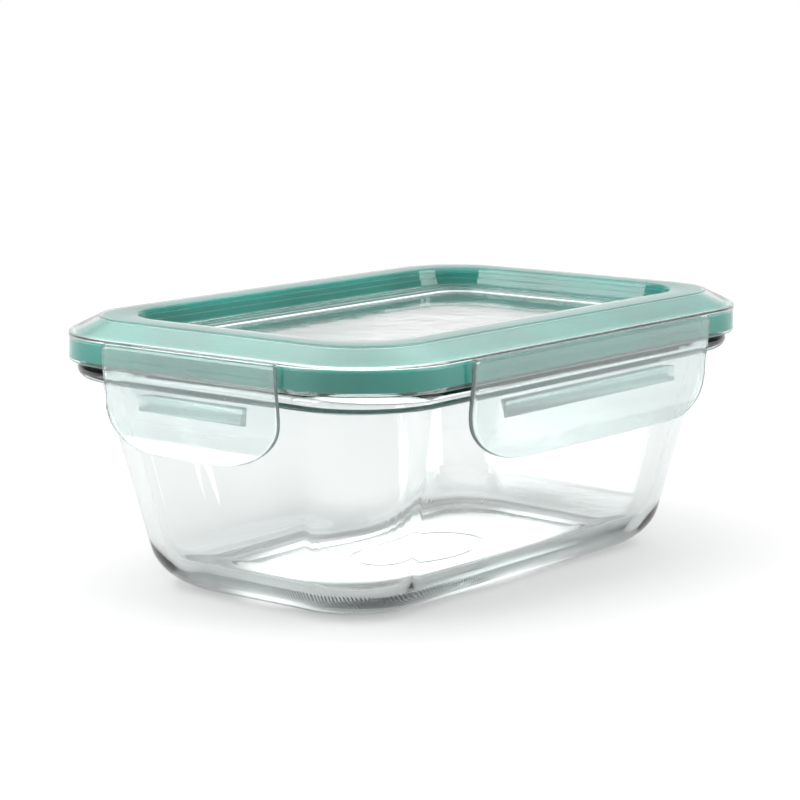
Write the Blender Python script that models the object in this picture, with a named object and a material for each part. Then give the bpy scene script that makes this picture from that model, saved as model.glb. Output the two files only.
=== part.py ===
"""Glass food storage container with a clear latching lid, a silicone seal and four hinged latches.

Frame: +Z up, +X along the long side, origin under the middle of the dish on the surface it stands on.
Lengths are written in millimetres and turned into metres when a mesh is made.

Nearly every piece is a rounded rectangle swept up or down. A profile is a list of (inset, height) points:
the inset is measured inwards from the outline of the lid's skirt, which is the widest rounded rectangle.
"""

import math

import bpy

MM = 0.001

# Driving dimensions
LID_LENGTH = 196.0
LID_WIDTH = 132.5
LID_CORNER = 31.0
HEIGHT = 80.9
SKIRT_BOTTOM = 68.3
SKIRT_TOP = 75.6
SKIRT_WALL = 1.5
RECESS_INSET = 17.5
RECESS_CORNER = 19.3
PANEL_TOP = 74.3
PANEL_WALL = 1.6
GAP = 0.3

RIM_TOP = 69.0
RIM_INSET = 2.4
BEAD_RADIUS = 3.0
WALL_TOP_INSET = 7.9
WALL_TOP_Z = 62.3
WALL_TOP_CORNER = 26.0
WALL_FOOT_INSET = 18.4
FOOT_FILLET = 15.0
FOOT_CORNER = 17.0
MOUTH_INSET = 11.6
MOUTH_CORNER = 21.0
FLOOR_EDGE_INSET = 22.2
FLOOR_Z = 5.5
FLOOR_FILLET = 11.5
FLOOR_CORNER = 14.6
FOOT_RING_WIDTH = 4.6
UNDERSIDE_Z = 1.0

LATCH_TOP = 75.2
LATCH_BOTTOM = 46.0
LATCH_WALL = 1.3
LATCH_CORNER_START = 60.0
LATCH_CORNER_WIDTH = 24.3
LATCH_HALF_LONG = 58.6
LATCH_HALF_SHORT = 32.3
HINGE_OUT = 1.0
HINGE_Z = 75.8
FILM_WALL = 0.5

CATCH_HALF_LONG = 43.0
CATCH_HALF_SHORT = 20.5
CATCH_TOP = 62.4
CATCH_FOOT = 57.6

CORNER_STEPS = 8

COLOURS = {
    "glass": (0.86, 0.93, 0.91, 0.35, 0.03),
    "clear_plastic": (0.72, 0.90, 0.85, 0.6, 0.12),
    "teal_silicone": (0.05, 0.42, 0.36, 1.0, 0.35),
    "latch_plastic": (0.80, 0.91, 0.89, 0.55, 0.15),
}


def clear_scene():
    for obj in list(bpy.data.objects):
        bpy.data.objects.remove(obj)


def make_material(name):
    red, green, blue, alpha, roughness = COLOURS[name]
    material = bpy.data.materials.new(name)
    material.use_nodes = True
    shader = material.node_tree.nodes["Principled BSDF"]
    shader.inputs["Base Color"].default_value = (red, green, blue, 1.0)
    shader.inputs["Alpha"].default_value = alpha
    shader.inputs["Roughness"].default_value = roughness
    shader.inputs["Metallic"].default_value = 0.0
    return material


def make_object(name, vertices, faces, material, location=(0, 0, 0), turn=0.0):
    """One closed body. Locations and points are in millimetres; turn is about +Z, in degrees."""
    mesh = bpy.data.meshes.new(name)
    mesh.from_pydata([[c * MM for c in v] for v in vertices], [], faces)
    mesh.materials.append(material)
    mesh.shade_smooth()
    mesh.set_sharp_from_angle(angle=math.radians(35))
    obj = bpy.data.objects.new(name, mesh)
    obj.location = [c * MM for c in location]
    obj.rotation_euler = (0, 0, math.radians(turn))
    bpy.context.scene.collection.objects.link(obj)
    return obj


def rounded_rectangle(inset, z, corner):
    """Points of one level, anticlockwise seen from above."""
    half_x = LID_LENGTH / 2 - inset
    half_y = LID_WIDTH / 2 - inset
    points = []
    for quarter, (sx, sy) in enumerate(((1, 1), (-1, 1), (-1, -1), (1, -1))):
        for step in range(CORNER_STEPS + 1):
            angle = math.radians(90 * (quarter + step / CORNER_STEPS))
            x = sx * (half_x - corner) + corner * math.cos(angle)
            y = sy * (half_y - corner) + corner * math.sin(angle)
            points.append((x, y, z))
    return points


def sweep(profile, corners, ring):
    """Joins the levels of a profile, each with its own rule for the corner radius.

    With ring set the last level joins the first, otherwise the first and last levels are capped.
    """
    vertices = []
    faces = []
    count = 4 * (CORNER_STEPS + 1)
    for (inset, z), corner in zip(profile, corners):
        vertices += rounded_rectangle(inset, z, corner(inset, z))
    levels = len(profile)
    for level in range(levels if ring else levels - 1):
        here = level * count
        below = ((level + 1) % levels) * count
        for k in range(count):
            after = (k + 1) % count
            faces.append((here + k, below + k, below + after, here + after))
    if not ring:
        last = (levels - 1) * count
        faces.append(tuple(range(count)))
        faces.append(tuple(last + k for k in reversed(range(count))))
    return vertices, faces


def arc(centre_inset, centre_z, radius, start, end, steps):
    """Profile points on an arc. 0 degrees points inwards, 90 degrees up and 180 degrees outwards."""
    points = []
    for step in range(steps + 1):
        angle = math.radians(start + (end - start) * step / steps)
        points.append((centre_inset + radius * math.cos(angle), centre_z + radius * math.sin(angle)))
    return points


# The dish


def outer_glass_corner(inset, z):
    """The bead follows the lid's outline. The wall below it has rounder corners that tighten to the foot."""
    if z > WALL_TOP_Z:
        return LID_CORNER - inset
    share = (inset - WALL_TOP_INSET) / (WALL_FOOT_INSET + FOOT_FILLET - WALL_TOP_INSET)
    return WALL_TOP_CORNER + (FOOT_CORNER - WALL_TOP_CORNER) * share


def inner_glass_corner(inset, _z):
    share = (inset - MOUTH_INSET) / (FLOOR_EDGE_INSET + FLOOR_FILLET - MOUTH_INSET)
    return MOUTH_CORNER + (FLOOR_CORNER - MOUTH_CORNER) * max(share, -0.05)


def build_dish(material):
    """Pressed glass: bead rim, drafted walls, a wide fillet at the foot and a raised underside."""
    fillet_inset = WALL_FOOT_INSET + FOOT_FILLET
    floor_inset = FLOOR_EDGE_INSET + FLOOR_FILLET
    inside = arc(floor_inset, FLOOR_Z + FLOOR_FILLET, FLOOR_FILLET, 270, 190, 6)
    inside += [(MOUTH_INSET + 0.2, 67.8), (MOUTH_INSET - 0.1, 68.6), (MOUTH_INSET - 0.9, RIM_TOP)]
    outside = arc(RIM_INSET + BEAD_RADIUS, RIM_TOP - BEAD_RADIUS, BEAD_RADIUS, 90, 250, 8)
    outside += [(WALL_TOP_INSET - 0.4, WALL_TOP_Z + 0.8), (WALL_TOP_INSET, WALL_TOP_Z)]
    outside += arc(fillet_inset, FOOT_FILLET, FOOT_FILLET, 190, 270, 8)
    outside += [
        (fillet_inset + FOOT_RING_WIDTH, 0.0),
        (fillet_inset + FOOT_RING_WIDTH + 1.2, UNDERSIDE_Z),
    ]
    corners = [inner_glass_corner] * len(inside) + [outer_glass_corner] * len(outside)
    vertices, faces = sweep(inside + outside, corners, ring=False)
    return make_object("glass_dish", vertices, faces, material)


# The lid


def lid_corner(inset, _z=0.0):
    """The skirt and shoulder keep one corner centre, and the recess has its own, wider one."""
    ring_inset = 10.0
    recess_inset = 15.6
    if inset <= ring_inset:
        return LID_CORNER - inset
    recess = RECESS_CORNER + RECESS_INSET
    if inset >= recess_inset:
        return recess - inset
    share = (inset - ring_inset) / (recess_inset - ring_inset)
    return (LID_CORNER - ring_inset) * (1 - share) + (recess - recess_inset) * share


def build_lid_shell(material):
    """Clear moulding: skirt, sloping shoulder, flat top ring, recessed panel and a plug rib underneath."""
    panel_edge = RECESS_INSET + 12.0
    ledge = PANEL_TOP + 0.9
    top = [
        (panel_edge, PANEL_TOP),
        (panel_edge - 0.7, PANEL_TOP + 0.2),
        (panel_edge - 1.4, PANEL_TOP + 1.2),
        (panel_edge - 1.9, PANEL_TOP + 1.4),
        (panel_edge - 2.4, PANEL_TOP + 1.2),
        (panel_edge - 3.0, ledge),
        (RECESS_INSET + 2.1, ledge),
        (RECESS_INSET + 1.7, ledge + 0.3),
        (RECESS_INSET + 0.7, HEIGHT - 0.7),
        (RECESS_INSET + 0.4, HEIGHT - 0.2),
        (RECESS_INSET - 0.2, HEIGHT),
        (9.6, HEIGHT),
        (8.6, HEIGHT - 0.2),
        (1.5, SKIRT_TOP + 1.7),
        (0.5, SKIRT_TOP + 1.0),
        (0.0, SKIRT_TOP),
    ]
    skirt = [
        (0.0, SKIRT_BOTTOM + 0.3),
        (0.3, SKIRT_BOTTOM),
        (SKIRT_WALL - 0.3, SKIRT_BOTTOM),
        (SKIRT_WALL, SKIRT_BOTTOM + 0.3),
        (SKIRT_WALL, SKIRT_TOP - 0.5),
        (2.1, SKIRT_TOP + 0.3),
    ]
    channel = [
        (9.2, HEIGHT - 1.7),
        (10.0, HEIGHT - 1.5),
        (16.2, HEIGHT - 1.5),
        (16.7, HEIGHT - 1.9),
        (17.7, ledge - 0.8),
    ]
    plug_rib = [
        (17.7, 66.8),
        (18.0, 66.5),
        (18.9, 66.5),
        (19.2, 66.8),
        (19.2, ledge - 2.0),
        (19.7, ledge - 1.6),
    ]
    panel_underside = [
        (panel_edge - 2.6, ledge - 1.6),
        (panel_edge - 1.2, PANEL_TOP - PANEL_WALL + 0.1),
        (panel_edge, PANEL_TOP - PANEL_WALL),
    ]
    profile = top + skirt + channel + plug_rib + panel_underside
    vertices, faces = sweep(profile, [lid_corner] * len(profile), ring=False)
    return make_object("lid_shell", vertices, faces, material)


def build_seal(material):
    """Silicone ring in the lid's channel: a pad that sits on the rim, a lip that wipes the inside of the glass
    and two legs that stand against the skirt and the recess wall."""
    leg = SKIRT_WALL + GAP
    pad = RIM_TOP + GAP
    outer_leg = [(leg + 0.05, SKIRT_TOP - 0.8), (leg, SKIRT_TOP - 1.2), (leg, 69.1), (leg + 0.2, 68.9)]
    rim_pad = [(2.8, 68.9), (3.1, pad), (12.1, pad)]
    wiper_lip = [(12.5, 69.0), (12.8, 65.4), (13.2, 65.0), (13.6, 65.0), (14.0, 65.4), (14.0, 70.4)]
    inner_leg = [(14.4, 70.8), (15.4, 70.8), (15.8, 70.4), (15.8, 68.2), (16.2, 67.8), (16.9, 67.8), (17.3, 68.2)]
    inner_leg += [(17.3, 74.1), (16.3, 78.6), (15.9, HEIGHT - 1.85), (14.9, HEIGHT - 1.85), (14.6, 78.6)]
    channel_floor = [(15.4, 73.2), (14.8, 72.2), (3.8, 72.2), (3.3, 72.6)]
    outer_leg_inside = [(3.3, SKIRT_TOP - 0.3), (2.9, SKIRT_TOP), (2.4, SKIRT_TOP - 0.05)]
    profile = outer_leg + rim_pad + wiper_lip + inner_leg + channel_floor + outer_leg_inside
    vertices, faces = sweep(profile, [lid_corner] * len(profile), ring=True)
    return make_object("seal_ring", vertices, faces, material)


# The latches. Each is drawn in its own axes: X along the side, -Y outwards, origin on the hinge axis.


def latch_inner_face(z):
    """How far the plate's inner face stands out from the skirt: it bellies out over the skirt, tucks in
    under the rim and flares again at the finger edge."""
    stations = ((LATCH_TOP, 0.8), (71.0, 0.75), (66.0, 0.1), (61.0, -0.4), (56.0, -0.4), (50.0, 0.3), (45.0, 1.2))
    for (high, out_high), (low, out_low) in zip(stations, stations[1:]):
        if z >= low:
            share = (high - z) / (high - low)
            return out_high + (out_low - out_high) * share
    return stations[-1][1]


def latch_half_width(z, half):
    """Straight sides, then a wide rounded corner down to the finger edge."""
    if z >= LATCH_CORNER_START:
        return half
    power = 2.2
    share = min(1.0, (LATCH_CORNER_START - z) / (LATCH_CORNER_START - LATCH_BOTTOM))
    return half - LATCH_CORNER_WIDTH * (1 - (1 - share**power) ** (1 / power))


def build_latch(side, half, place, turn, material):
    heights = [LATCH_TOP, 73.6, 71.0, 68.5, 66.0, 63.5, 61.0, 58.5, 56.0]
    heights += [54.0, 52.0, 50.4, 49.0, 47.9, 47.1, 46.5, 46.15, LATCH_BOTTOM]
    vertices = []
    faces = []
    for z in heights:
        width = latch_half_width(z, half)
        inner = latch_inner_face(z)
        wall = LATCH_WALL - (0.3 if z == LATCH_TOP else 0.0)
        for x, out in ((-width, inner), (width, inner), (width, inner + wall), (-width, inner + wall)):
            vertices.append((x, HINGE_OUT - out, z - HINGE_Z))
    for row in range(len(heights) - 1):
        for k in range(4):
            after = (k + 1) % 4
            here = row * 4
            faces.append((here + k, here + after, here + 4 + after, here + 4 + k))
    last = 4 * (len(heights) - 1)
    faces.append((3, 2, 1, 0))
    faces.append((last, last + 1, last + 2, last + 3))
    return make_object(f"latch_{side}", vertices, faces, material, place, turn)


def prism(section_left, section_right, name, material, place, turn):
    """A bar between two end sections with the same number of points, listed anticlockwise seen from +X."""
    count = len(section_left)
    vertices = list(section_left) + list(section_right)
    faces = [tuple(reversed(range(count))), tuple(range(count, 2 * count))]
    for k in range(count):
        after = (k + 1) % count
        faces.append((k, after, count + after, count + k))
    return make_object(name, vertices, faces, material, place, turn)


def build_catch(side, half, place, turn, material):
    """Wedge bar on the latch's inner face that hooks under the glass bead, with slanted ends."""
    root = 0.4 + GAP
    tip = 4.4
    taper = 3.0
    shape = (
        (root, CATCH_FOOT, half),
        (root, CATCH_TOP - 0.2, half),
        (tip, CATCH_TOP, half - taper),
        (tip, CATCH_TOP - 1.8, half - taper),
        (root + 1.2, CATCH_FOOT, half - 0.6),
    )
    left = [(-reach, HINGE_OUT + inset, z - HINGE_Z) for inset, z, reach in reversed(shape)]
    right = [(reach, HINGE_OUT + inset, z - HINGE_Z) for inset, z, reach in reversed(shape)]
    return prism(left, right, f"catch_rib_{side}", material, place, turn)


def build_hinge_film(side, half, place, turn, material):
    """The thin strip of plastic that bends between the lid's skirt and the top of the latch."""
    reach = half - 0.6
    inner = HINGE_OUT - GAP
    outer = HINGE_OUT - 1.8
    low = -FILM_WALL / 2
    high = FILM_WALL / 2
    section = ((outer, low), (inner, low), (inner, high), (outer + 0.2, high))
    left = [(-reach, y, z) for y, z in section]
    right = [(reach, y, z) for y, z in section]
    return prism(left, right, f"hinge_film_{side}", material, place, turn)


def build_latches(plastic):
    half_length = LID_LENGTH / 2
    half_width = LID_WIDTH / 2
    sides = (
        ("front", LATCH_HALF_LONG, CATCH_HALF_LONG, (0, -1), half_width, 0),
        ("right", LATCH_HALF_SHORT, CATCH_HALF_SHORT, (1, 0), half_length, 90),
        ("back", LATCH_HALF_LONG, CATCH_HALF_LONG, (0, 1), half_width, 180),
        ("left", LATCH_HALF_SHORT, CATCH_HALF_SHORT, (-1, 0), half_length, 270),
    )
    for side, half, catch_half, (nx, ny), distance, turn in sides:
        reach = distance + HINGE_OUT
        place = (nx * reach, ny * reach, HINGE_Z)
        build_latch(side, half, place, turn, plastic)
        build_catch(side, catch_half, place, turn, plastic)
        build_hinge_film(side, half, place, turn, plastic)


def main():
    clear_scene()
    materials = {name: make_material(name) for name in COLOURS}
    build_dish(materials["glass"])
    build_lid_shell(materials["clear_plastic"])
    build_seal(materials["teal_silicone"])
    build_latches(materials["latch_plastic"])


main()
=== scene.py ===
# Glass storage container: pressed glass dish, clear latching lid with a teal silicone seal, four hinged latches
import math

import bmesh
import bpy
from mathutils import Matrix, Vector


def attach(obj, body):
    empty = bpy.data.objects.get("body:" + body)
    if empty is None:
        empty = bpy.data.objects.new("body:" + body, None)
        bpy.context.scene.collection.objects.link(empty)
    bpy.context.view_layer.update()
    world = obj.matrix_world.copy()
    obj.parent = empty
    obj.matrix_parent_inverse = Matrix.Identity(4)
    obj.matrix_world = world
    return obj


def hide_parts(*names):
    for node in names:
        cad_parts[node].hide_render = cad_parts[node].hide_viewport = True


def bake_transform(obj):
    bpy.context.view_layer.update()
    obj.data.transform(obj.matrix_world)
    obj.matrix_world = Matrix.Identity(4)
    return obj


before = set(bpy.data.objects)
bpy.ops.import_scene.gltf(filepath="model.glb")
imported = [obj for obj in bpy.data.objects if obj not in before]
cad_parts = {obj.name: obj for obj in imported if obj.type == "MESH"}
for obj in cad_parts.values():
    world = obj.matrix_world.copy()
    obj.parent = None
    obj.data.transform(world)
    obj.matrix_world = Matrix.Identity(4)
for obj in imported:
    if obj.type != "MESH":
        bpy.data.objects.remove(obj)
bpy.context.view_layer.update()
mm = 0.001
scene = bpy.context.scene

# Outline of the lid's skirt, the widest rounded rectangle, in millimetres. Insets are measured inwards from it.
outline = {"halfX": 98.0, "halfY": 66.25, "corner": 31.0, "recessCorner": 36.8, "cornerSteps": 16,
           "weld": 0.002}


class Signal:
    # wraps a socket, so maths reads as maths
    def __init__(self, sheet, socket):
        self.sheet = sheet
        self.socket = socket

    def __add__(self, other):
        return self.sheet.maths("ADD", self, other)

    def __radd__(self, other):
        return self.sheet.maths("ADD", other, self)

    def __sub__(self, other):
        return self.sheet.maths("SUBTRACT", self, other)

    def __rsub__(self, other):
        return self.sheet.maths("SUBTRACT", other, self)

    def __mul__(self, other):
        return self.sheet.maths("MULTIPLY", self, other)

    def __rmul__(self, other):
        return self.sheet.maths("MULTIPLY", other, self)

    def __truediv__(self, other):
        return self.sheet.maths("DIVIDE", self, other)

    def __rtruediv__(self, other):
        return self.sheet.maths("DIVIDE", other, self)

    def __abs__(self):
        return self.sheet.maths("ABSOLUTE", self)


class Sheet:
    # the node sheet of one material, or of the world
    def __init__(self, name, world=None):
        self.material = world or bpy.data.materials.new(name)
        self.material.use_nodes = True
        self.tree = self.material.node_tree
        self.shader = self.tree.nodes["Background" if world else "Principled BSDF"]
        self.output = self.tree.nodes["World Output" if world else "Material Output"]

    def add(self, kind, settings=None, inputs=None, out=0):
        node = self.tree.nodes.new(kind)
        for key, value in (settings or {}).items():
            setattr(node, key, value)
        for key, value in (inputs or {}).items():
            self.plug(node.inputs[key], value)
        return Signal(self, node.outputs[out])

    def plug(self, socket, value):
        if isinstance(value, Signal):
            self.tree.links.new(value.socket, socket)
        else:
            socket.default_value = value

    def maths(self, operation, *values):
        return self.add("ShaderNodeMath", {"operation": operation}, dict(enumerate(values)))

    def surface(self, **values):
        # socket names are written with underscores for spaces
        for key, value in values.items():
            self.plug(self.shader.inputs[key.replace("_", " ")], value)

    def place(self):
        # the object's own coordinates, in metres
        return self.add("ShaderNodeTexCoord", out=3)

    def towards(self, heading, direction):
        return self.add("ShaderNodeVectorMath", {"operation": "DOT_PRODUCT"}, {0: heading, 1: direction}, out=1)

    def axes(self):
        # x, y and z of the object's own coordinates
        split = self.add("ShaderNodeSeparateXYZ", None, {0: self.place()})
        return [Signal(self, output) for output in split.socket.node.outputs]

    def noise(self, scale, detail=2.0, roughness=0.5):
        return self.add("ShaderNodeTexNoise", None,
                        {"Vector": self.place(), "Scale": scale, "Detail": detail, "Roughness": roughness})

    def blendColours(self, amount, first, second):
        return self.add("ShaderNodeMix", {"data_type": "RGBA"}, {0: amount, 6: first, 7: second}, out=2)

    def range(self, value, low, high, toLow=0.0, toHigh=1.0):
        return self.add("ShaderNodeMapRange", {"interpolation_type": "SMOOTHSTEP"},
                        {0: value, 1: low, 2: high, 3: toLow, 4: toHigh})

    def bump(self, height, strength, distance):
        return self.add("ShaderNodeBump", None, {"Height": height, "Strength": strength, "Distance": distance})

    def absorb(self, colour, density):
        volume = self.add("ShaderNodeVolumeAbsorption", None, {"Color": colour, "Density": density})
        self.plug(self.output.inputs["Volume"], volume)


# Distances and heights in the four finishes are in metres.
glassLook = {"tint": (1.0, 1.0, 1.0, 1), "roughness": 0.0, "ior": 1.5,
             "depthColour": (0.45, 0.57, 0.55, 1), "depth": 38.0,
             "waveScale": 34.0, "waveDetail": 1.5, "waveHeight": 0.00006,
             "knurlCount": 330.0, "knurlSquash": 1.3, "knurlHeight": 0.00016, "knurlFade": (0.0004, 0.0030),
             "ringLonger": 0.0317, "ringStart": (0.0285, 0.0300),
             "ovalHalves": (0.024, 0.015), "ovalEdge": (0.05, 0.2), "ovalFade": (0.0015, 0.0030),
             "ovalHeight": 0.00004}


def pressedGlass():
    look = glassLook
    sheet = Sheet("pressedGlass")
    x, y, z = sheet.axes()
    # slow unevenness that pressing leaves in the walls
    waves = sheet.noise(look["waveScale"], look["waveDetail"]) * look["waveHeight"]
    # fine ribs round the foot, only on the ring that the dish stands on
    angle = sheet.maths("ARCTAN2", y * look["knurlSquash"], x)
    ribs = sheet.maths("SINE", angle * look["knurlCount"])
    nearFoot = sheet.range(z, *look["knurlFade"], 1.0, 0.0)
    fromMiddle = sheet.maths("MAXIMUM", abs(x) - look["ringLonger"], abs(y))
    onRing = sheet.range(fromMiddle, *look["ringStart"])
    # a faint oval mould mark under the middle of the base
    across, along = x / look["ovalHalves"][0], y / look["ovalHalves"][1]
    offLine = abs(across * across + along * along - 1.0)
    oval = sheet.range(offLine, *look["ovalEdge"], 1.0, 0.0) * sheet.range(z, *look["ovalFade"], 1.0, 0.0)
    height = waves + ribs * nearFoot * onRing * look["knurlHeight"] + oval * look["ovalHeight"]
    sheet.surface(Base_Color=look["tint"], Roughness=look["roughness"], IOR=look["ior"],
                  Transmission_Weight=1.0, Normal=sheet.bump(height, 1.0, 1.0))
    sheet.absorb(look["depthColour"], look["depth"])
    return sheet.material


clearLook = {"ior": 1.49, "cloud": 60.0, "grain": 900.0, "grainHeight": 0.000004, "wobble": 0.00006,
             "hazeSpread": 0.05, "depthColour": (0.42, 0.70, 0.65, 1),
             "lid": {"tint": (0.88, 0.90, 0.89, 1), "roughness": 0.02, "clarity": 0.985, "depth": 14.0},
             "latch": {"tint": (0.83, 0.865, 0.86, 1), "roughness": 0.05, "clarity": 0.955, "depth": 75.0},
             "catch": {"tint": (0.83, 0.865, 0.86, 1), "roughness": 0.10, "clarity": 0.90, "depth": 210.0}}


def clearPlastic(name, part):
    look = clearLook[part]
    sheet = Sheet(name)
    # moulding haze: a little rougher in slow clouds
    haze = sheet.noise(clearLook["cloud"], 3.0)
    height = sheet.noise(clearLook["grain"], 2.0) * clearLook["grainHeight"] + haze * clearLook["wobble"]
    sheet.surface(Base_Color=look["tint"], Roughness=haze * clearLook["hazeSpread"] + look["roughness"],
                  IOR=clearLook["ior"], Transmission_Weight=look["clarity"],
                  Normal=sheet.bump(height, 1.0, 1.0))
    sheet.absorb(clearLook["depthColour"], look["depth"])
    return sheet.material


sealLook = {"deep": (0.002, 0.12, 0.095, 1), "pale": (0.004, 0.16, 0.13, 1), "cloud": 25.0,
            "cloudEdge": (0.35, 0.65), "grain": 1400.0, "grainHeight": 0.00001, "bump": 0.6,
            "roughness": 0.28, "roughnessSpread": 0.1, "ior": 1.42, "gloss": 0.15,
            "soft": 0.35, "softRadius": (0.2, 1.0, 0.8), "softScale": 0.002}


def tealSilicone():
    look = sealLook
    sheet = Sheet("tealSilicone")
    cloud = sheet.noise(look["cloud"], 2.0)
    colour = sheet.blendColours(sheet.range(cloud, *look["cloudEdge"]), look["deep"], look["pale"])
    grain = sheet.noise(look["grain"], 2.0) * look["grainHeight"]
    sheet.surface(Base_Color=colour, Roughness=cloud * look["roughnessSpread"] + look["roughness"],
                  IOR=look["ior"], Specular_IOR_Level=look["gloss"], Subsurface_Weight=look["soft"],
                  Subsurface_Radius=look["softRadius"], Subsurface_Scale=look["softScale"],
                  Normal=sheet.bump(grain, look["bump"], 1.0))
    return sheet.material


# the floor's glow is painted light: an even glow everywhere, and a brighter painted pool of light under the
# dish
floorLook = {"pale": (0.43, 0.43, 0.43, 1), "roughness": 0.8, "gloss": 0.2, "glow": 2.0,
             "paintedPoolHalves": (0.068, 0.036), "paintedPoolEdge": (0.5, 1.2),
             "paintedPoolColour": (1, 1, 1, 1), "glowFar": (0.125, 0.125, 0.125, 1)}


def floorPaper():
    look = floorLook
    sheet = Sheet("floorPaper")
    x, y, _ = sheet.axes()
    # painted light: the paper glows a little all over, and a painted pool of light, brightest under the middle
    # of the dish, lifts the floor where the dish's shadow falls
    across, along = x / look["paintedPoolHalves"][0], y / look["paintedPoolHalves"][1]
    away = across * across + along * along
    glow = sheet.blendColours(sheet.range(away, *look["paintedPoolEdge"]), look["paintedPoolColour"], look["glowFar"])
    sheet.surface(Base_Color=look["pale"], Roughness=look["roughness"], Specular_IOR_Level=look["gloss"],
                  Emission_Color=glow, Emission_Strength=look["glow"])
    return sheet.material


materials = {"glass": pressedGlass(), "shell": clearPlastic("clearLid", "lid"),
             "latch": clearPlastic("clearLatch", "latch"), "catch": clearPlastic("clearCatch", "catch"),
             "seal": tealSilicone()}
print("materials ready")


def deselectAll():
    for item in bpy.context.selected_objects:
        item.select_set(False)


def newPiece(name, kind="plane", **settings):
    deselectAll()
    getattr(bpy.ops.mesh, f"primitive_{kind}_add")(**settings)
    piece = bpy.context.object
    piece.name = name
    piece.data.name = name
    return piece


nearlyHalf = 0.49  # two fillets on one side must not meet


def filleted(points, closed=False, steps=4):
    # points are (inset, height, fillet radius); each sharp turn becomes a short arc
    result = []
    count = len(points)
    for index, (inset, z, radius) in enumerate(points):
        here = Vector((inset, z))
        if radius == 0 or (not closed and index in (0, count - 1)):
            result.append((inset, z))
            continue
        before = Vector(points[index - 1][:2]) - here
        after = Vector(points[(index + 1) % count][:2]) - here
        turn = before.angle(after)
        reach = min(radius / math.tan(turn / 2), before.length * nearlyHalf, after.length * nearlyHalf)
        radius = reach * math.tan(turn / 2)
        middle = (before.normalized() + after.normalized()).normalized()
        centre = here + middle * (radius / math.sin(turn / 2))
        start = here + before.normalized() * reach - centre
        end = here + after.normalized() * reach - centre
        sweep = start.angle_signed(end)
        for step in range(steps + 1):
            share = sweep * step / steps
            spoke = Vector((start.x * math.cos(-share) - start.y * math.sin(-share),
                            start.x * math.sin(-share) + start.y * math.cos(-share)))
            result.append(tuple(centre + spoke))
    return result


def turned(centre, radius, start, end, steps):
    # an arc as profile points: 0 degrees points inwards, 90 up, 180 outwards, 270 down
    angles = [math.radians(start + (end - start) * step / steps) for step in range(steps + 1)]
    return [(centre[0] + radius * math.cos(a), centre[1] + radius * math.sin(a), 0) for a in angles]


def cornerMiddle(inset, corner, vert):
    # the centre of the rounded corner that a point belongs to
    return Vector((math.copysign(outline["halfX"] - inset - corner, vert.co.x),
                   math.copysign(outline["halfY"] - inset - corner, vert.co.y))) * mm


def sweptOutline(name, profile, corners, closed):
    # a rounded plate is extruded from each profile point to the next, and eased to that point's outline
    points = [(inset, z, corner) for (inset, z), corner in zip(profile, corners)]
    if closed:
        points.append(points[0])
    inset, z, corner = points[0]
    piece = newPiece(name, size=2 * mm)
    bpy.ops.object.mode_set(mode="EDIT")
    bpy.ops.mesh.select_mode(type="FACE")
    bpy.ops.mesh.select_all(action="SELECT")
    bpy.ops.transform.resize(value=(outline["halfX"] - inset, outline["halfY"] - inset, 1),
                             center_override=(0, 0, 0))
    bpy.ops.transform.translate(value=(0, 0, z * mm))
    bpy.ops.mesh.bevel(affect="VERTICES", offset=corner * mm, segments=outline["cornerSteps"], profile=0.5)
    for nextInset, nextZ, nextCorner in points[1:]:
        bpy.ops.mesh.extrude_region()
        mesh = bmesh.from_edit_mesh(piece.data)
        for vert in mesh.verts:
            if vert.select:
                spoke = (vert.co.xy - cornerMiddle(inset, corner, vert)) * nextCorner / corner
                vert.co.xy = cornerMiddle(nextInset, nextCorner, vert) + spoke
                vert.co.z = nextZ * mm
        bmesh.update_edit_mesh(piece.data)
        inset, corner = nextInset, nextCorner
    if closed:
        mesh = bmesh.from_edit_mesh(piece.data)
        for face in mesh.faces:
            face.select = len(face.verts) > 4
        bmesh.update_edit_mesh(piece.data)
        bpy.ops.mesh.delete(type="ONLY_FACE")
        bpy.ops.mesh.select_all(action="SELECT")
        bpy.ops.mesh.remove_doubles(threshold=outline["weld"] * mm)
    bpy.ops.mesh.select_all(action="SELECT")
    bpy.ops.mesh.normals_make_consistent(inside=False)
    bpy.ops.object.mode_set(mode="OBJECT")
    return piece


def applyModifier(piece, kind, **settings):
    bpy.context.view_layer.objects.active = piece
    modifier = piece.modifiers.new(kind.title(), kind)
    for key, value in settings.items():
        setattr(modifier, key, value)
    bpy.ops.object.modifier_apply(modifier=modifier.name)


def finishPiece(piece, material, body, node, sharp=40):
    piece.data.materials.clear()
    piece.data.materials.append(material)
    deselectAll()
    piece.select_set(True)
    bpy.context.view_layer.objects.active = piece
    bpy.ops.object.transform_apply(location=True, rotation=True, scale=True)
    bpy.ops.object.shade_smooth_by_angle(angle=math.radians(sharp))
    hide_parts(node)
    if body:
        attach(piece, body)
    # light passes the clear plastic
    piece.visible_shadow = material in (materials["glass"], materials["seal"])
    print("piece", piece.name, len(piece.data.polygons), "faces")
    return piece


# Arcs are start angle, end angle and steps. A point of the lip or shoulder is an offset from the mouth or wall.
dish = {"rimTop": 69.0, "rimInset": 2.4, "bead": 3.0, "beadArc": (90, 250, 16),
        "beadFoot": 64.0, "beadBlend": 1.7,
        "wallTop": (7.9, 62.3, 26.0), "shoulder": ((-0.2, 0.8, 0.8), (0, -0.2, 0)),
        "foot": (18.4, 15.0, 17.0), "footArc": (190, 266, 16), "footRing": 4.6, "ringStep": 1.2,
        "underside": 1.0, "underCap": 12,
        "mouth": (11.6, 21.0), "lip": ((0.15, -0.7, 2.0), (-1.0, 0.0, 0.9), (-2.2, 0.0, 0)),
        "floorEdge": (22.2, 11.5, 14.6), "floorArc": (270, 190, 14), "floorHeight": 5.5, "floorCap": 6,
        "leastShare": -0.05, "sharp": 50}


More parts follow.
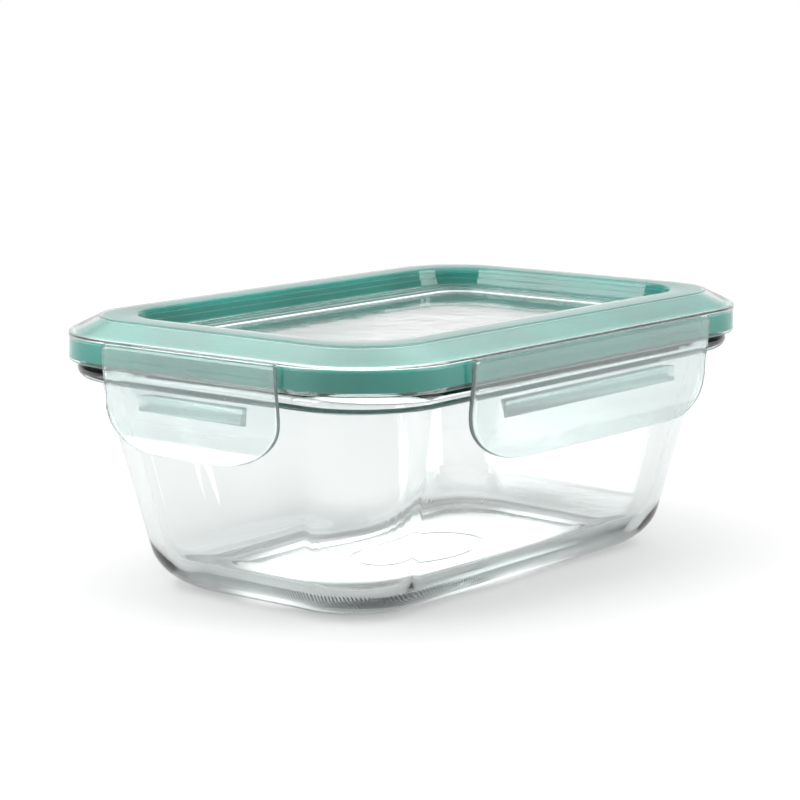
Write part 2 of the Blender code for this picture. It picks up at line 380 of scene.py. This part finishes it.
def buildDish():
    wallInset, wallZ, wallCorner = dish["wallTop"]
    footInset, footFillet, footCorner = dish["foot"]
    floorInset, floorFillet, floorCorner = dish["floorEdge"]
    mouthInset, mouthCorner = dish["mouth"]
    top, low, under = dish["rimTop"], dish["floorHeight"], dish["underside"]
    ringInset = footInset + footFillet
    innerInset = floorInset + floorFillet
    inside = [(innerInset + dish["floorCap"], low, 0)]
    inside += turned((innerInset, low + floorFillet), floorFillet, *dish["floorArc"])
    inside += [(mouthInset + inset, top + z, fillet) for inset, z, fillet in dish["lip"]]
    outside = turned((dish["rimInset"] + dish["bead"], top - dish["bead"]), dish["bead"], *dish["beadArc"])
    outside += [(wallInset + inset, wallZ + z, fillet) for inset, z, fillet in dish["shoulder"]]
    outside += turned((ringInset, footFillet), footFillet, *dish["footArc"])
    ringEnd = ringInset + dish["footRing"]
    outside += [(ringInset, 0.0, 1.0), (ringEnd, 0.0, 0.5), (ringEnd + dish["ringStep"], under, 0.5),
                (ringInset + dish["underCap"], under, 0)]
    inside = filleted(inside)
    outside = filleted(outside)
    corners = []
    for inset, z in inside:
        share = (inset - mouthInset) / (innerInset - mouthInset)
        corners.append(mouthCorner + (floorCorner - mouthCorner) * max(share, dish["leastShare"]))
    for inset, z in outside:
        share = (inset - wallInset) / (ringInset - wallInset)
        atWall = wallCorner + (footCorner - wallCorner) * share
        # the bead keeps the lid's outline, the wall its own
        blend = min(max((dish["beadFoot"] - z) / dish["beadBlend"], 0.0), 1.0)
        corners.append((outline["corner"] - inset) * (1 - blend) + atWall * blend)
    piece = sweptOutline("dishGlass", inside + outside, corners, False)
    return finishPiece(piece, materials["glass"], "dish", "glass_dish", dish["sharp"])


lid = {"height": 80.9, "skirtBottom": 68.3, "skirtTop": 75.6, "wall": 1.5, "recess": 17.5, "panel": 74.3,
       "ledge": 75.2, "panelWall": 1.6, "capInset": 14.5, "blendFrom": 10.0, "blendTo": 15.6, "sharp": 50}


def lidCorner(inset):
    # the skirt and the recess have rounder or tighter corners, eased across the top ring
    start, end = lid["blendFrom"], lid["blendTo"]
    if inset <= start:
        return outline["corner"] - inset
    if inset >= end:
        return outline["recessCorner"] - inset
    share = (inset - start) / (end - start)
    return (outline["corner"] - start) * (1 - share) + (outline["recessCorner"] - end) * share


def buildShell():
    top, edge, wall, thin = lid["height"], lid["recess"], lid["wall"], lid["panelWall"]
    ledge, panel, skirtTop, skirtBottom = lid["ledge"], lid["panel"], lid["skirtTop"], lid["skirtBottom"]
    cap = edge + lid["capInset"]
    # inset, height and fillet: from the panel's middle out over the top, down the skirt and back underneath
    profile = [
        (cap, panel, 0), (edge + 12, panel, 1.0), (edge + 11, panel + 1.2, 0.5), (edge + 9.6, panel + 1.2, 0.5),
        (edge + 9, ledge, 0.5), (edge + 5.4, ledge, 0.2), (edge + 5.2, ledge + 0.25, 0.2),
        (edge + 4.4, ledge + 0.25, 0.2), (edge + 4.2, ledge, 0.2), (edge + 1.8, ledge, 0.7),
        (edge + 1.3, ledge + 2.3, 0.1), (edge + 1.05, ledge + 2.4, 0.1), (edge + 0.8, ledge + 4.0, 0.1),
        (edge + 0.6, ledge + 4.1, 0.1), (edge + 0.35, top, 0.9), (9.1, top, 0.8), (1.1, skirtTop + 1.6, 0.9),
        (0.0, skirtTop + 0.9, 0.9), (0.0, skirtTop - 0.6, 0.1), (0.12, skirtTop - 0.8, 0.1),
        (0.12, skirtBottom + 1.2, 0.1), (0.0, skirtBottom + 1.0, 0.1), (0.0, skirtBottom, 0.4),
        (wall, skirtBottom, 0.4), (wall, skirtTop - 0.1, 0.6), (9.4, top - 1.5, 0.8), (16.6, top - 1.5, 0.6),
        (17.7, ledge - 0.8, 0.2), (17.7, 66.5, 0.5), (19.2, 66.5, 0.5), (19.2, ledge - thin, 0.6),
        (edge + 9.2, ledge - thin, 0.6), (edge + 11.0, panel - thin, 0.6), (cap, panel - thin, 0)]
    rounds = filleted(profile)
    piece = sweptOutline("lidShell", rounds, [lidCorner(inset) for inset, z in rounds], False)
    return finishPiece(piece, materials["shell"], "lid", "lid_shell", lid["sharp"])


def buildSeal():
    top = lid["height"]
    # moulded onto the lid: its legs and crown sit a hair inside the clear plastic, with air under the shoulder
    profile = [
        (1.4, 75.0, 0.2), (1.4, 69.0, 0.3), (2.9, 68.9, 0.2), (3.1, 69.3, 0.2), (12.3, 69.3, 0.4),
        (12.8, 65.0, 0.5), (14.0, 65.0, 0.5), (14.0, 70.8, 0.5), (15.8, 70.8, 0.5), (15.8, 67.8, 0.5),
        (17.3, 67.8, 0.5), (17.8, 73.9, 0.3), (16.75, top - 1.6, 0.5), (16.3, top - 1.4, 0.2),
        (10.2, top - 1.4, 0.2), (9.6, top - 2.1, 0.3), (4.4, top - 4.6, 0.5), (2.2, 75.7, 0.3)]
    rounds = filleted(profile, closed=True, steps=3)
    piece = sweptOutline("sealRing", rounds, [lidCorner(inset) for inset, z in rounds], True)
    return finishPiece(piece, materials["seal"], "lid", "seal_ring", lid["sharp"])


latch = {"top": 75.2, "bottom": 46.0, "cornerFrom": 60.0, "cornerWide": 24.3, "power": 2.2, "wall": 1.3,
         "rows": 44, "columns": 48, "crowding": 1.7, "roll": (74.3, 0.8, 0.2), "groove": (72.4, 0.5, -0.18),
         "hingeHeight": 75.8, "edge": 0.4, "sharp": 35,
         "stand": ((75.2, 0.75), (71.0, 0.75), (66.0, 0.1), (61.0, -0.4), (56.0, -0.4), (50.0, 0.3),
                   (45.0, 1.2))}
# half width of the latch and of its catch, distance of the skirt from the middle, turn about the middle
sides = {"front": (58.6, 43.0, 66.25, 0), "back": (58.6, 43.0, 66.25, 180),
         "right": (32.3, 20.5, 98.0, 90), "left": (32.3, 20.5, 98.0, 270)}
touching = 1e-5  # metres within which a point counts as on a line
bevelAngle = math.radians(50)


def standOff(z):
    # distance of the plate's inner face from the skirt, eased between stations
    stations = latch["stand"]
    for (high, outHigh), (low, outLow) in zip(stations, stations[1:]):
        if z >= low:
            share = (high - z) / (high - low)
            details = sum(rise * math.exp(-((z - middle) / spread) ** 2)
                          for middle, spread, rise in (latch["roll"], latch["groove"]))
            return outHigh + (outLow - outHigh) * share + details
    return stations[-1][1]


def halfWidth(z, half):
    if z >= latch["cornerFrom"]:
        return half
    share = min(1.0, (latch["cornerFrom"] - z) / (latch["cornerFrom"] - latch["bottom"]))
    return half - latch["cornerWide"] * (1 - (1 - share ** latch["power"]) ** (1 / latch["power"]))


def swingAround(piece, turn):
    # carries a piece built on the front side to its own side
    deselectAll()
    piece.select_set(True)
    bpy.context.view_layer.objects.active = piece
    piece.rotation_euler.z = math.radians(turn)
    bpy.ops.object.transform_apply(location=True, rotation=True, scale=True)


def selectRow(piece, row, rows, bottom, top):
    mesh = bmesh.from_edit_mesh(piece.data)
    goal = (bottom + (top - bottom) * row / rows) * mm
    for vert in mesh.verts:
        vert.select = abs(vert.co.z - goal) < touching
    mesh.select_flush(True)
    bmesh.update_edit_mesh(piece.data)


def buildPlate(side):
    half, _, distance, turn = sides[side]
    rows, top, bottom, crowding = latch["rows"], latch["top"], latch["bottom"], latch["crowding"]
    piece = newPiece("latch" + side.title(), "grid", x_subdivisions=latch["columns"], y_subdivisions=rows,
                     size=2 * mm, rotation=(math.radians(90), 0, 0))
    bpy.ops.object.transform_apply(location=False, rotation=True, scale=False)
    bpy.ops.object.mode_set(mode="EDIT")
    bpy.ops.mesh.select_mode(type="VERT")
    bpy.ops.mesh.select_all(action="SELECT")
    bpy.ops.transform.resize(value=(half, 1, (top - bottom) / 2), center_override=(0, 0, 0))
    bpy.ops.transform.translate(value=(0, 0, (top + bottom) / 2 * mm))
    # rows crowd together towards the finger edge and the hinge, where the shape turns fastest
    shares = [row / rows for row in range(rows + 1)]
    for row, share in enumerate(shares):
        selectRow(piece, row, rows, bottom, top)
        z = bottom + (top - bottom) * (share ** crowding + 1 - (1 - share) ** crowding) / 2
        middle = (0, 0, (bottom + (top - bottom) * row / rows) * mm)
        bpy.ops.transform.resize(value=(halfWidth(z, half) / half, 1, 1), center_override=middle)
        bpy.ops.transform.translate(value=(0, -(distance + standOff(z)) * mm, 0))
        mesh = bmesh.from_edit_mesh(piece.data)
        for vert in mesh.verts:
            if vert.select:
                vert.co.z = -z  # parked below, so later rows are not picked twice
        bmesh.update_edit_mesh(piece.data)
    bpy.ops.mesh.select_all(action="SELECT")
    mesh = bmesh.from_edit_mesh(piece.data)
    for vert in mesh.verts:
        vert.co.z = -vert.co.z * mm
    bpy.ops.mesh.normals_make_consistent(inside=False)
    bmesh.update_edit_mesh(piece.data)
    bpy.ops.object.mode_set(mode="OBJECT")
    outwards = sum(face.normal.y for face in piece.data.polygons) < 0
    applyModifier(piece, "SOLIDIFY", thickness=latch["wall"] * mm, offset=1.0 if outwards else -1.0)
    applyModifier(piece, "BEVEL", width=latch["edge"] * mm, segments=3,
                  limit_method="ANGLE", angle_limit=bevelAngle)
    swingAround(piece, turn)
    return finishPiece(piece, materials["latch"], "latch_" + side, "latch_" + side,
                       latch["sharp"])


# root and tip are measured inwards from the skirt
catch = {"root": 0.7, "tip": 4.4, "top": 62.4, "foot": 57.6, "taper": 3.0, "slope": 2.0, "edge": 0.45}


def buildCatch(side):
    _, half, distance, turn = sides[side]
    depth = catch["tip"] - catch["root"]
    height = catch["top"] - catch["foot"]
    outset = distance - catch["root"] - depth / 2
    piece = newPiece("catch" + side.title(), "cube", size=1,
                     location=(0, -outset * mm, (catch["foot"] + height / 2) * mm))
    piece.scale = (2 * half * mm, depth * mm, height * mm)
    bpy.ops.object.transform_apply(location=True, rotation=False, scale=True)
    bpy.ops.object.mode_set(mode="EDIT")
    bpy.ops.mesh.select_mode(type="VERT")
    innerY = -(distance - catch["tip"]) * mm - touching
    lowerZ = (catch["foot"] + height / 2) * mm
    # the inner face is made shorter, then its lower edge is drawn back to slope under the bead
    steps = ((lambda place: place.y > innerY, 0, (half - catch["taper"]) / half),
             (lambda place: place.y > innerY and place.z < lowerZ, -catch["slope"] * mm, 1.0))
    for pick, shift, squeeze in steps:
        mesh = bmesh.from_edit_mesh(piece.data)
        for vert in mesh.verts:
            vert.select = pick(vert.co)
        mesh.select_flush(True)
        bmesh.update_edit_mesh(piece.data)
        bpy.ops.transform.resize(value=(squeeze, 1, 1), center_override=(0, 0, 0))
        bpy.ops.transform.translate(value=(0, shift, 0))
    bpy.ops.mesh.select_all(action="SELECT")
    bpy.ops.mesh.bevel(offset=catch["edge"] * mm, segments=3, affect="EDGES")
    bpy.ops.mesh.normals_make_consistent(inside=False)
    bpy.ops.object.mode_set(mode="OBJECT")
    swingAround(piece, turn)
    return finishPiece(piece, materials["catch"], "latch_" + side, "catch_rib_" + side,
                       latch["sharp"])


# start and end are measured outwards from the skirt
film = {"wall": 0.5, "start": 0.3, "end": 1.8, "shorter": 0.6, "edge": 0.15, "slices": 8}


def buildFilm(side):
    half, _, distance, turn = sides[side]
    reach = half - film["shorter"]
    start, end = distance + film["start"], distance + film["end"]
    height = latch["hingeHeight"] * mm
    piece = newPiece("film" + side.title(), "grid", x_subdivisions=film["slices"] * 4,
                     y_subdivisions=film["slices"], size=1, location=(0, -(start + end) / 2 * mm, height))
    piece.scale = (2 * reach * mm, (end - start) * mm, 1)
    bpy.ops.object.transform_apply(location=True, rotation=False, scale=True)
    applyModifier(piece, "SOLIDIFY", thickness=film["wall"] * mm, offset=0.0)
    applyModifier(piece, "BEVEL", width=film["edge"] * mm, segments=2,
                  limit_method="ANGLE", angle_limit=bevelAngle)
    swingAround(piece, turn)
    finishPiece(piece, materials["latch"], None, "hinge_film_" + side, latch["sharp"])
    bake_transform(piece)
    return piece


# floor: width, depth and how far back its middle lies. backdrop and ceiling: start, end, dim and bright.
# lights: place, aim, width, height and power
studio = {"floor": (4.0, 11.6, 0.8), "away": (0.78, 0.625, 0.0),
          "backdrop": (0.5, 0.92, 0.14, 1.0), "ceiling": (0.3, 0.8, 0.14, 2.4),
          "camera": (-0.6110, -0.4879, 0.1815), "target": (-0.0001, 0.0052, 0.0497), "lens": 117.27,
          "sensor": 36, "farClip": 20, "bounces": 24,
          "lights": {"keyLight": ((-0.5, 0.7, 0.9), (0, 0, 0.03), 0.6, 0.6, 3.0),
                     "leftLight": ((-1.0, 0.45, 0.35), (0, 0, 0.06), 0.8, 0.6, 10.0),
                     "rightLight": ((0.45, -1.0, 0.35), (0, 0, 0.06), 0.8, 0.6, 8.0)}}


def facing(place, aim):
    return (Vector(aim) - Vector(place)).to_track_quat("-Z", "Y").to_euler()


def softbox(name, place, aim, wide, high, power):
    light = bpy.data.lights.new(name, "AREA")
    light.shape = "RECTANGLE"
    light.size = wide
    light.size_y = high
    light.energy = power
    lamp = bpy.data.objects.new(name, light)
    lamp.location = place
    lamp.rotation_euler = facing(place, aim)
    scene.collection.objects.link(lamp)


def buildStudio():
    deselectAll()
    wide, deep, back = studio["floor"]
    bpy.ops.mesh.primitive_plane_add(size=1)
    floor = bpy.context.object
    floor.name = "floor"
    floor.scale = (deep, wide, 1)
    floor.rotation_euler.z = math.atan2(studio["away"][1], studio["away"][0])
    floor.location = Vector(studio["away"]) * back
    bpy.ops.object.transform_apply(location=True, rotation=True, scale=True)
    floor.data.materials.append(floorPaper())
    scene.world = bpy.data.worlds.new("studio")
    sheet = Sheet("studio", scene.world)
    heading = sheet.add("ShaderNodeTexCoord")
    # bright backdrop and ceiling, darker room at the sides, so the edges of the glass show
    backdrop = sheet.range(sheet.towards(heading, studio["away"]), *studio["backdrop"])
    ceiling = sheet.range(sheet.towards(heading, (0, 0, 1)), *studio["ceiling"])
    sheet.surface(Color=(1, 1, 1, 1), Strength=sheet.maths("MAXIMUM", backdrop, ceiling))
    for name, values in studio["lights"].items():
        softbox(name, *values)
    camera = bpy.data.cameras.new("camera")
    camera.lens = studio["lens"]
    camera.sensor_width = studio["sensor"]
    camera.clip_end = studio["farClip"]
    eye = bpy.data.objects.new("camera", camera)
    eye.location = studio["camera"]
    eye.rotation_euler = facing(studio["camera"], studio["target"])
    scene.collection.objects.link(eye)
    scene.camera = eye
    scene.view_settings.view_transform = "Standard"
    scene.cycles.max_bounces = studio["bounces"]
    scene.cycles.transmission_bounces = studio["bounces"]


buildDish()
buildShell()
buildSeal()
for side in sides:
    buildPlate(side)
    buildCatch(side)
    buildFilm(side)
buildStudio()
print("all pieces placed")
